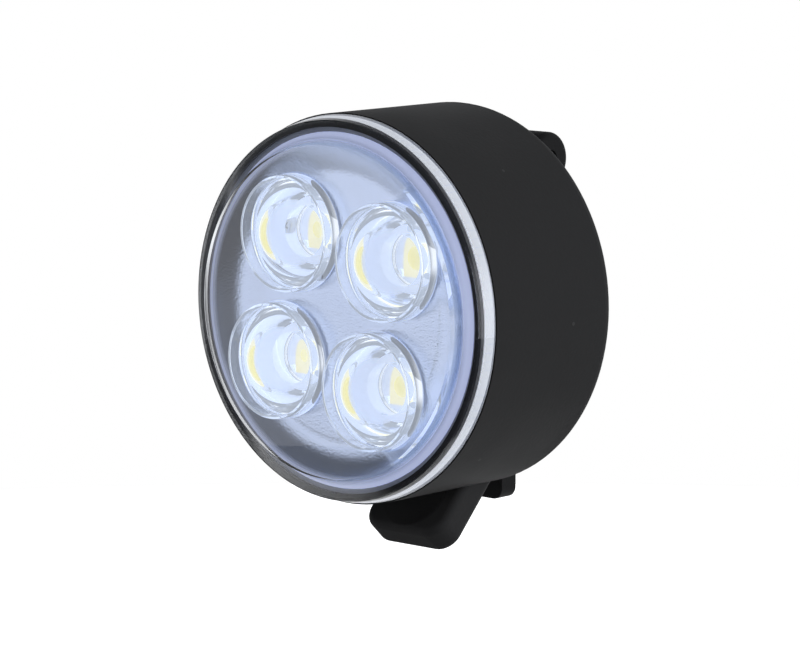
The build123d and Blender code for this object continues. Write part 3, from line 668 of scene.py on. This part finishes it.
@dataclass
class ClearWindow:
    """The front lens: a flat window inside a bevel, on a solid clear rim with the seal's groove."""

    wall: float = 0.8
    window_radius: float = 17.0
    window_round: float = 0.2
    rim_height: float = 2.0
    rim_taper: float = 0.5
    rim_chamfer: float = 0.15
    rim_bore: float = 18.0
    groove_depth: float = 1.15
    groove_height: float = 0.42
    edge: float = 0.05
    margin: float = 0.1
    upright_limit: float = 0.3
    shelf_limit: float = 0.9
    segments: int = 512

    def coat(self, piece: bpy.types.Object, coatings: list[bpy.types.Material]) -> None:
        """Coats the rim's bore, the groove's shelf and the groove's wall.

        A face is upright where |ny| is below upright_limit, and shelf where ny is below
        -shelf_limit. Which upright face is bore and which is wall goes by its distance from
        the axis.

        Args:
            piece: The finished lens.
            coatings: The finishes of the bore, the shelf and the wall.
        """
        for coating in coatings:
            piece.data.materials.append(coating)
        count = len(piece.data.polygons)
        middles, normals = np.empty(count * 3), np.empty(count * 3)
        piece.data.polygons.foreach_get("center", middles)
        piece.data.polygons.foreach_get("normal", normals)
        middles, normals = middles.reshape(-1, 3) / MM, normals.reshape(-1, 3)
        away = np.hypot(middles[:, 0], middles[:, 2])
        depth = middles[:, 1] - middles[:, 1].max()
        inner = away < self.rim_bore + self.groove_depth + self.margin
        upright = inner & (np.abs(normals[:, 1]) < self.upright_limit)
        bore = upright & (away < self.rim_bore + self.margin)
        facing = inner & (normals[:, 1] < -self.shelf_limit)
        shelf = facing & (depth > -self.rim_height) & (away > self.rim_bore)
        index = np.select([bore, shelf, upright], [1, 2, 3], 0)
        piece.data.polygons.foreach_set("material_index", index.astype(np.int32))

    def build(
        self, material: bpy.types.Material, coatings: list[bpy.types.Material]
    ) -> bpy.types.Object:
        """Builds the lens in the place of its CAD node.

        Args:
            material: The clear finish.
            coatings: The finishes of the rim's bore, shelf and groove wall.

        Returns:
            The finished piece.
        """
        low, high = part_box("front_lens")
        face, back, outer = low.y / MM, high.y / MM, high.x / MM
        rim_front = back - self.rim_height
        rim_top = outer - self.rim_taper
        bevel_outer, bevel_front = rim_top - self.rim_chamfer, rim_front - self.rim_chamfer
        slope = (bevel_front - face) / (bevel_outer - self.window_radius)
        groove = self.rim_bore + self.groove_depth
        groove_front = bevel_front - slope * (bevel_outer - groove) + self.wall
        corners = [
            (0.0, face),
            (self.window_radius, face),
            (bevel_outer, bevel_front),
            (rim_top, rim_front),
            (outer, back),
            (self.rim_bore, back),
            (self.rim_bore, groove_front + self.groove_height),
            (groove, groove_front + self.groove_height),
            (groove, groove_front),
            (self.window_radius, face + self.wall),
            (0.0, face + self.wall),
        ]
        edge = self.edge
        radii = [self.window_round, edge, edge, edge, 0.0, 0.0, 0.0, 0.0, self.window_round]
        profile = rounded_profile(corners, radii)
        piece = add_piece("clear_window", [lathe(profile, (0.0, 0.0), self.segments)])
        dress(piece, material)
        self.coat(piece, coatings)
        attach(piece, "capsule")
        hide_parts("front_lens")
        return piece


@dataclass
class Collimators:
    """The four clear optics.

    Each has a collar that stands round a sunk front face, a tapering body, a rear cavity over
    the LED, and three feet.
    """

    radius: float = 6.0
    collar_depth: float = 2.7
    collar_step: float = 0.25
    cup_wall: float = 0.3
    cup_depth: float = 1.3
    base_radius: float = 3.6
    cavity_radius: float = 2.7
    cavity_depth: float = 2.6
    cavity_bulge: float = 0.3
    cone_swell: float = 0.45
    foot_radius: float = 0.35
    foot_circle: float = 3.15
    foot_height: float = 0.9
    foot_angles: tuple[float, ...] = (90.0, 210.0, 330.0)
    edge: float = 0.07
    segments: int = 160
    foot_segments: int = 24
    side_steps: int = 40

    def profile(self, front: float, base: float) -> np.ndarray:
        """The optic's section, from the middle of its front round to the cavity's crown.

        Args:
            front: The collar's front y.
            base: The base's y.

        Returns:
            (radius, y) points.
        """
        collar = front + self.collar_depth
        cavity = base - self.cavity_depth
        cone = self.radius - self.collar_step
        cup = self.radius - self.cup_wall
        top = rounded_profile(
            [
                (0.0, front + self.cup_depth),
                (cup, front + self.cup_depth),
                (cup, front),
                (self.radius, front),
                (self.radius, collar),
                (cone, collar),
            ],
            [self.edge * 2, self.edge, self.edge, self.edge],
        )
        middle = ((cone + self.base_radius) / 2 + self.cone_swell, (collar + base) / 2)
        side = swept_arc((cone, collar), middle, (self.base_radius, base), self.side_steps)
        under = np.array([(self.cavity_radius, base), (self.cavity_radius, cavity)])
        roof = cap_curve(self.cavity_radius, cavity, cavity + self.cavity_bulge)[::-1]
        return np.concatenate([top, side[1:], under, roof[1:]])

    def build(self, material: bpy.types.Material) -> list[bpy.types.Object]:
        """Builds one optic in the place of each CAD node.

        Args:
            material: The clear finish.

        Returns:
            The finished pieces.
        """
        pieces = []
        for corner in CORNERS:
            low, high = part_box(f"optic_{corner}")
            centre = ((low.x + high.x) / 2 / MM, (low.z + high.z) / 2 / MM)
            front, foot_end = low.y / MM, high.y / MM
            base = foot_end - self.foot_height
            shells = [lathe(self.profile(front, base), centre, self.segments)]
            foot = np.array(
                [(0, base), (self.foot_radius, base), (self.foot_radius, foot_end), (0, foot_end)]
            )
            for turn in self.foot_angles:
                angle = math.radians(turn)
                foot_centre = (
                    centre[0] + self.foot_circle * math.cos(angle),
                    centre[1] + self.foot_circle * math.sin(angle),
                )
                shells.append(lathe(foot, foot_centre, self.foot_segments))
            piece = add_piece(f"collimator_{corner}", shells)
            dress(piece, material)
            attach(piece, "capsule")
            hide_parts(f"optic_{corner}")
            pieces.append(piece)
        return pieces


@dataclass(frozen=True)
class Lamp:
    """A soft round lamp, with its place and diameter in metres and its power in watts."""

    name: str
    place: tuple[float, float, float]
    size: float
    power: float

    def build(self) -> None:
        """Places the lamp, aimed at the light's middle and unseen in gloss and clear pieces."""
        data = bpy.data.lights.new(self.name, "AREA")
        data.shape = "DISK"
        data.size = self.size
        data.energy = self.power
        lamp = new_object(self.name, data)
        lamp.visible_glossy = lamp.visible_transmission = False
        lamp.location = self.place
        lamp.rotation_mode = "QUATERNION"
        lamp.rotation_quaternion = (-Vector(self.place)).to_track_quat("-Z", "Y")


@dataclass
class Studio:
    """Soft white studio: a pale floor well below, a soft world and large soft lamps.

    Floor and world look white to the camera. To other rays they are bright at the front left
    and dim elsewhere, with a paler part behind and a bright panel in the world far to the right,
    so that the clear rim and the bowl have something light and something dark to show. Each
    step is where a part begins and where it is full, as one coordinate of a unit direction.
    """

    azimuth: float = 43.0
    elevation: float = 8.0
    distance: float = 400.0
    pixels_per_mm: float = 9.85
    picture: tuple[int, int] = (800, 658)
    front_pixel: Pair = (348.0, 309.3)
    front_y: float = -19.3
    sensor: float = 36.0
    clip: Pair = (0.01, 50.0)
    floor_drop: float = 0.11
    floor_radius: float = 0.62
    floor_rings: int = 24
    floor_segments: int = 96
    floor_tones: tuple[Colour, Colour] = ((0.8, 0.8, 0.8), (0.78, 0.78, 0.79))
    cloud_scale: float = 3.0
    cloud_detail: float = 2.0
    floor_roughness: float = 0.9
    card_tone: Colour = (0.06, 0.06, 0.065)
    card_step: Pair = (-0.8, -0.42)
    floor_lift: float = 0.2
    behind_lift: float = 0.2
    seen_lift: float = 0.55
    dim_step: Pair = (-0.62, -0.3)
    high_step: Pair = (-0.02, 0.24)
    beside_step: Pair = (-0.02, 0.1)
    behind_step: Pair = (0.5, 0.62)
    panel_step: Pair = (0.8, 0.93)
    bright_sky: Colour = (0.97, 0.98, 1.01)
    dim_sky: Colour = (0.095, 0.1, 0.108)
    panel_sky: Colour = (1.6, 1.65, 1.75)
    behind_sky: Colour = (0.72, 0.73, 0.75)
    lamps: tuple[Lamp, ...] = (
        Lamp("key lamp", (-0.3, -0.4, 1.4), 1.0, 3.5),
        Lamp("side lamp", (1.3, -0.7, 0.4), 0.9, 11.0),
        Lamp("rear lamp", (-0.8, 1.4, 0.2), 1.0, 9.0),
    )

    def camera(self) -> None:
        """Sets the camera to the photograph's angle.

        The front circle's centre is 'distance' ahead, and the camera is turned a little so that
        this point falls on its pixel of the 800 by 658 picture.
        """
        a, e = math.radians(self.azimuth), math.radians(self.elevation)
        back = Vector((math.sin(a) * math.cos(e), -math.cos(a) * math.cos(e), math.sin(e)))
        right = Vector((math.cos(a), math.sin(a), 0.0))
        up = back.cross(right)
        target = Vector((0.0, self.front_y, 0.0))
        place = target + back * self.distance
        across = (self.picture[0] / 2 - self.front_pixel[0]) / self.pixels_per_mm
        down = (self.picture[1] / 2 - self.front_pixel[1]) / self.pixels_per_mm
        middle = target + right * across - up * down
        data = bpy.data.cameras.new("camera")
        data.sensor_width = self.sensor
        data.lens = self.pixels_per_mm * self.distance * self.sensor / self.picture[0]
        data.clip_start, data.clip_end = self.clip
        camera = new_object("camera", data)
        camera.location = place * MM
        camera.rotation_mode = "QUATERNION"
        camera.rotation_quaternion = (middle - place).to_track_quat("-Z", "Y")
        bpy.context.scene.camera = camera

    def floor(self) -> None:
        """Lays a wide round floor: rings at r_i = R (i / n)^2, so that they crowd the middle."""
        rings, segments = self.floor_rings, self.floor_segments
        level = CAD_BOX[0].z - self.floor_drop
        r = self.floor_radius * (np.arange(1, rings + 1)[:, None] / rings) ** 2
        a = np.linspace(0, 2 * math.pi, segments, endpoint=False)
        grid = np.stack([r * np.cos(a), r * np.sin(a), np.full((rings, segments), level)], -1)
        points = np.concatenate([grid.reshape(-1, 3), [[0.0, 0.0, level]]])
        i, j = np.arange(rings - 1)[:, None] * segments, np.arange(segments)
        after = (j + 1) % segments
        quads = np.stack([i + j, i + segments + j, i + segments + after, i + after], -1)
        fan = np.stack([np.full(segments, rings * segments), j, after], 1)
        mesh = bpy.data.meshes.new("floor")
        mesh.from_pydata(points.tolist(), [], quads.reshape(-1, 4).tolist() + fan.tolist())
        floor = new_object("floor", mesh)
        dress(floor, self.floor_finish())

    def floor_finish(self) -> bpy.types.Material:
        """Builds the floor's finish: pale, with a dark card that the camera doesn't see.

        For the unit direction (x, y) from the middle, the card is the greater of x past
        card_step and y past beside_step, times what is short of behind_step.

        Returns:
            The new material.
        """
        material, tree, shader = new_material("pale floor")
        cloud = tree.noise(self.cloud_scale, self.cloud_detail)
        pale = tree.mix(cloud, *self.floor_tones)
        x, y, _ = tree.axes(tree.object_place())
        flat = tree.feed(tree.add("ShaderNodeCombineXYZ"), X=x, Y=y)
        away = tree.add("ShaderNodeVectorMath", operation="LENGTH")
        tree.join(flat.outputs[0], away.inputs[0])
        across, forward = (tree.maths("DIVIDE", side, away.outputs["Value"]) for side in (x, y))
        beside = tree.ramp(forward, *self.beside_step)
        behind = tree.ramp(forward, *self.behind_step)
        shade = tree.maths("MAXIMUM", tree.ramp(across, *self.card_step), beside)
        seen = tree.add("ShaderNodeLightPath").outputs["Is Camera Ray"]
        ahead = tree.maths("MULTIPLY", shade, tree.complement(behind))
        card = tree.maths("MULTIPLY", ahead, tree.complement(seen))
        lift = tree.maths("MULTIPLY", behind, self.behind_lift)
        lift = tree.maths("ADD", lift, self.floor_lift)
        lift = tree.maths("MULTIPLY", lift, tree.complement(card))
        strength = tree.maths("ADD", lift, tree.maths("MULTIPLY", seen, self.seen_lift))
        tree.feed(shader, Base_Color=tree.mix(card, pale, self.card_tone))
        tree.feed(shader, Roughness=self.floor_roughness)
        tree.feed(shader, Emission_Color=(*WHITE, 1.0), Emission_Strength=strength)
        return material

    def world(self) -> None:
        """Sets a world that is white to the camera and uneven to all other rays.

        For the unit direction (x, y, z), the dim part is the greatest of x past dim_step, z
        past high_step and y past beside_step. In it stands a panel, x past panel_step, and
        y past behind_step has a tone of its own.
        """
        world = bpy.data.worlds.new("studio")
        world.use_nodes = True
        world.node_tree.nodes.clear()
        tree = Tree(world.node_tree)
        x, y, z = tree.axes(tree.add("ShaderNodeTexCoord").outputs["Generated"])
        high = tree.maths("MAXIMUM", tree.ramp(x, *self.dim_step), tree.ramp(z, *self.high_step))
        shade = tree.maths("MAXIMUM", high, tree.ramp(y, *self.beside_step))
        dim = tree.mix(tree.ramp(x, *self.panel_step), self.dim_sky, self.panel_sky)
        ahead = tree.mix(shade, self.bright_sky, dim)
        sky = tree.mix(tree.ramp(y, *self.behind_step), ahead, self.behind_sky)
        seen = tree.add("ShaderNodeLightPath").outputs["Is Camera Ray"]
        background = tree.add("ShaderNodeBackground")
        tree.join(tree.mix(seen, sky, WHITE), background.inputs["Color"])
        out = tree.add("ShaderNodeOutputWorld")
        tree.join(background.outputs[0], out.inputs["Surface"])
        bpy.context.scene.world = world

    def build(self) -> None:
        """Sets up the whole studio and plain display colours."""
        self.camera()
        self.floor()
        self.world()
        for lamp in self.lamps:
            lamp.build()
        bpy.context.scene.view_settings.view_transform = "Standard"
        bpy.context.scene.view_settings.look = "None"


BLACK_SILICONE = Finish(
    "black silicone",
    (0.0155, 0.0155, 0.016),
    (0.0175, 0.0175, 0.018),
    roughness=0.66,
    specular=0.26,
    grain_scale=2600.0,
    grain_depth=0.2,
    speck_tone=(0.035, 0.035, 0.035),
)
BLACK_RUBBER = Finish(
    "black rubber",
    (0.006, 0.006, 0.0064),
    (0.0075, 0.0075, 0.008),
    roughness=0.6,
    specular=0.18,
    grain_scale=1900.0,
    grain_depth=0.25,
    speck_tone=(0.03, 0.03, 0.03),
)
GREY_RUBBER = Finish(
    "dark grey silicone", (0.03, 0.03, 0.033), (0.036, 0.036, 0.04), roughness=0.55
)
BLACK_MOULDING = Finish(
    "fine matt black moulding",
    (0.018, 0.018, 0.02),
    (0.024, 0.024, 0.026),
    roughness=0.5,
    grain_scale=3200.0,
    grain_depth=0.35,
)
# White is the bore's own colour. Its glow of 0.4 is painted light that brightens the inside seen
# through the optics.
SHELL_WITH_GLOWING_BORE = Finish(
    "shell, white bore with painted glow",
    (0.78, 0.8, 0.83),
    (0.82, 0.84, 0.87),
    roughness=0.5,
    grain_scale=3200.0,
    grain_depth=0.35,
    zone_radius=0.01655,
    zone_tone=(0.02, 0.02, 0.022),
    glow=(0.66, 0.76, 1.0),
    glow_strength=0.4,
)
# Past the zone radius the dish's outer band is matt lavender with a painted glow of 0.62, which
# stands in for light falling on it.
SILVER_WITH_GLOWING_BAND = Finish(
    "bluish silver coating",
    (0.6, 0.68, 0.88),
    (0.64, 0.72, 0.92),
    roughness=0.1,
    roughness_drift=0.04,
    metallic=0.95,
    grain_scale=4200.0,
    grain_depth=0.26,
    zone_radius=0.01725,
    zone_softness=0.0009,
    zone_tone=(0.62, 0.67, 0.88),
    zone_roughness=0.45,
    zone_glow=0.62,
    glow=(0.62, 0.69, 1.0),
)
# The rim's glow of 0.6 is painted light: it stands in for light gathered and carried by the clear
# rim.
RIM_WITH_PAINTED_GLOW = Finish(
    "white rim coat with painted glow",
    (0.84, 0.86, 0.9),
    (0.88, 0.9, 0.93),
    roughness=0.4,
    grain_depth=0.02,
    glow=(0.88, 0.92, 1.0),
    glow_strength=0.6,
)
SHELF_COATING = Finish(
    "satin grey shelf", (0.6, 0.62, 0.68), (0.64, 0.66, 0.72), roughness=0.4, grain_depth=0.02
)
GROOVE_COATING = Finish(
    "grey groove wall", (0.3, 0.3, 0.32), (0.34, 0.34, 0.36), roughness=0.45, grain_depth=0.02
)
SEAL_BLACK = Finish(
    "black silicone seal", (0.02, 0.02, 0.021), (0.024, 0.024, 0.025), roughness=0.6
)
SEAL_GREY = Finish("soft grey silicone", (0.25, 0.25, 0.27), (0.3, 0.3, 0.32), roughness=0.6)
# The board's glow of 0.45 is painted light that brightens the inside seen through the optics. The
# board is no lamp.
WHITE_BOARD_PAINTED_GLOW = Finish(
    "white solder mask",
    (0.78, 0.8, 0.83),
    (0.84, 0.86, 0.88),
    roughness=0.3,
    coat=0.3,
    glow=(0.66, 0.76, 1.0),
    glow_strength=0.45,
)
# The LEDs are unlit. The glow on the package and on the phosphor is painted light that brightens
# their yellow faces.
LED_PACKAGE_PAINTED_GLOW = Finish(
    "yellow-faced LED with painted glow",
    (0.93, 0.85, 0.5),
    (0.96, 0.89, 0.56),
    roughness=0.35,
    glow=(1.0, 0.9, 0.5),
    glow_strength=0.62,
)
PHOSPHOR_PAINTED_GLOW = Finish(
    "phosphor, yellow, with painted glow",
    (0.95, 0.80, 0.16),
    (0.98, 0.86, 0.24),
    roughness=0.25,
    coat=0.6,
    grain_scale=6000.0,
    grain_depth=0.3,
    glow=(1.0, 0.86, 0.22),
    glow_strength=0.6,
)
BRIGHT_STEEL = Finish(
    "bright steel",
    (0.55, 0.55, 0.56),
    (0.6, 0.6, 0.61),
    roughness=0.28,
    metallic=1.0,
    bump=Bump.BRUSHED,
    grain_depth=0.1,
)
CELL_STEEL = Finish(
    "nickel-plated can",
    (0.66, 0.65, 0.62),
    (0.72, 0.71, 0.68),
    roughness=0.24,
    metallic=1.0,
    bump=Bump.BRUSHED,
    grain_depth=0.06,
)
SPRUNG_BRASS = Finish(
    "sprung brass",
    (0.72, 0.56, 0.28),
    (0.78, 0.62, 0.34),
    roughness=0.3,
    metallic=1.0,
    bump=Bump.BRUSHED,
    grain_depth=0.1,
)
CHIP_BLACK = Finish(
    "moulded chip", (0.03, 0.03, 0.032), (0.04, 0.04, 0.043), roughness=0.5, grain_scale=5000.0
)
CERAMIC_BROWN = Finish("brown ceramic", (0.42, 0.3, 0.2), (0.48, 0.36, 0.25), roughness=0.4)
DARK_PLASTIC = Finish("dark moulded plastic", (0.08, 0.08, 0.09), (0.1, 0.1, 0.11), roughness=0.45)
NATURAL_PLASTIC = Finish(
    "natural white moulding", (0.66, 0.66, 0.63), (0.72, 0.72, 0.7), roughness=0.5
)
GREY_PLASTIC = Finish("grey moulded plastic", (0.24, 0.24, 0.26), (0.28, 0.28, 0.3), roughness=0.45)
CLEAR_WINDOW = ClearFinish("clear window", (0.97, 0.985, 1.0))
# The optics' faint bluish glow of 0.07 is painted light.
CLEAR_ACRYLIC_PAINTED_GLOW = ClearFinish("acrylic, clear, with painted glow", (0.96, 0.975, 1.0), glow_strength=0.07)

NODE_FINISHES = {
    "silicone_jacket": BLACK_SILICONE,
    "rubber_strap": BLACK_RUBBER,
    "power_button": GREY_RUBBER,
    "strap_pin": BRIGHT_STEEL,
    "board_screws": BRIGHT_STEEL,
    "capsule_shell": SHELL_WITH_GLOWING_BORE,
    "battery_cover": BLACK_MOULDING,
    "lens_seal": SEAL_BLACK,
    "plunger_seal": SEAL_GREY,
    "cover_seal": SEAL_GREY,
    "reflector_dish": SILVER_WITH_GLOWING_BAND,
    "led_board": WHITE_BOARD_PAINTED_GLOW,
    "controller_chip": CHIP_BLACK,
    "led_resistors": CHIP_BLACK,
    "capacitor": CERAMIC_BROWN,
    "tact_switch": DARK_PLASTIC,
    "switch_stem": DARK_PLASTIC,
    "switch_plunger": GREY_PLASTIC,
    "battery_cradle": NATURAL_PLASTIC,
    "coin_cell_front": CELL_STEEL,
    "coin_cell_rear": CELL_STEEL,
    "positive_contact": SPRUNG_BRASS,
    "negative_contact": SPRUNG_BRASS,
    **{f"led_{corner}": LED_PACKAGE_PAINTED_GLOW for corner in CORNERS},
    **{f"phosphor_{corner}": PHOSPHOR_PAINTED_GLOW for corner in CORNERS},
}


def dress_nodes(groups: SharedGroups) -> None:
    """Gives every CAD node that stays its finish.

    Args:
        groups: The shared node groups.
    """
    built: dict[str, bpy.types.Material] = {}
    for node, finish in NODE_FINISHES.items():
        if finish.name not in built:
            built[finish.name] = finish.build(groups)
        dress(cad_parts[node], built[finish.name])
    log.info("finishes on %d CAD nodes", len(NODE_FINISHES))


def main() -> None:
    """Builds the studio and the light."""
    Studio().build()
    groups = SharedGroups()
    dress_nodes(groups)
    coatings = [finish.build(groups) for finish in (RIM_WITH_PAINTED_GLOW, SHELF_COATING, GROOVE_COATING)]
    window = ClearWindow().build(CLEAR_WINDOW.build(groups), coatings)
    log.info("%s: %d faces", window.name, len(window.data.polygons))
    for optic in Collimators().build(CLEAR_ACRYLIC_PAINTED_GLOW.build(groups)):
        log.info("%s: %d faces", optic.name, len(optic.data.polygons))


if __name__ == "__main__":
    main()
